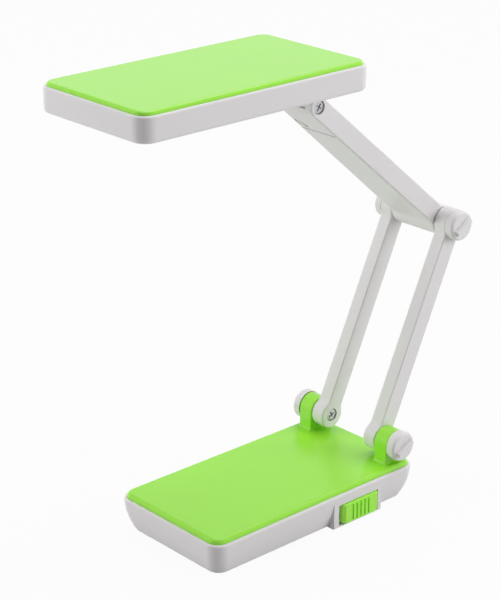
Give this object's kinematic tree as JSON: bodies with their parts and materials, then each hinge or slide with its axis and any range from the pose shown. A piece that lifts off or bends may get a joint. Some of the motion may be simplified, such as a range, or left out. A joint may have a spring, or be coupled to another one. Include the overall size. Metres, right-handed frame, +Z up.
{
  "type": "led desk lamp",
  "caption": "Folding desk lamp: flat battery base with a slide switch, twin lower arms, a broad upper arm and a flat tilting lamp head, all on friction hinges.",
  "frame": {"origin": "on the desk, under the middle of the lamp's reach in the stored pose", "axes": "+Z up, +X towards the side with the switch, -Y towards the front, where the head reaches"},
  "size_m": [0.0944, 0.2684, 0.2873],
  "materials": {
    "green_plastic": "gloss",
    "white_plastic": "satin",
    "screw_steel": "plated",
    "washer_nylon": "matt",
    "foot_rubber": "matt",
    "battery_case": "matt",
    "circuit_board": "satin",
    "black_plastic": "satin",
    "clear_plastic": "clear",
    "reflector_silver": "metallised",
    "led_resin": "clear"
  },
  "bodies": {
    "base": {"base_tub": "white_plastic", "base_cover": "green_plastic", "foot_pads": "foot_rubber", "base_screws": "screw_steel", "battery": "battery_case", "charger_board": "circuit_board", "board_screws": "screw_steel", "charge_socket": "black_plastic", "socket_pin": "screw_steel", "slide_switch": "black_plastic"},
    "switch": {"switch_slider": "green_plastic", "switch_lever": "black_plastic"},
    "lower_arms": {"left_lower_arm": "white_plastic", "right_lower_arm": "white_plastic", "left_arm_cover": "white_plastic", "right_arm_cover": "white_plastic", "left_hinge_cap": "white_plastic", "right_hinge_cap": "white_plastic", "hinge_screws": "screw_steel", "hinge_washers": "washer_nylon", "left_elbow_cap": "white_plastic", "right_elbow_cap": "white_plastic", "elbow_bolt": "screw_steel", "elbow_washers": "washer_nylon", "lower_arm_lead": "black_plastic"},
    "upper_arm": {"upper_arm": "white_plastic", "upper_arm_cover": "white_plastic", "upper_arm_lead": "black_plastic"},
    "head": {"head_housing": "white_plastic", "head_panel": "green_plastic", "lens": "clear_plastic", "reflector": "reflector_silver", "led_board": "circuit_board", "leds": "led_resin", "head_screws": "screw_steel", "head_hinge_screws": "screw_steel", "head_hinge_washers": "washer_nylon"}
  },
  "joints": [
    {"name": "switch_slide", "type": "slide", "parent": "base", "child": "switch", "axis": [0, -1, 0], "range_m": [0, 0.0025]},
    {"name": "base_hinge", "type": "hinge", "parent": "base", "child": "lower_arms", "pos_m": [0, 0.06609, 0.037], "axis": [1, 0, 0], "range_deg": [-30, 30]},
    {"name": "elbow_hinge", "type": "hinge", "parent": "lower_arms", "child": "upper_arm", "pos_m": [0, 0.12481, 0.16409], "axis": [1, 0, 0], "range_deg": [-75, 20]},
    {"name": "head_tilt", "type": "hinge", "parent": "upper_arm", "child": "head", "pos_m": [0, 0.01899, 0.25575], "axis": [1, 0, 0], "range_deg": [-65, 35]}
  ]
}
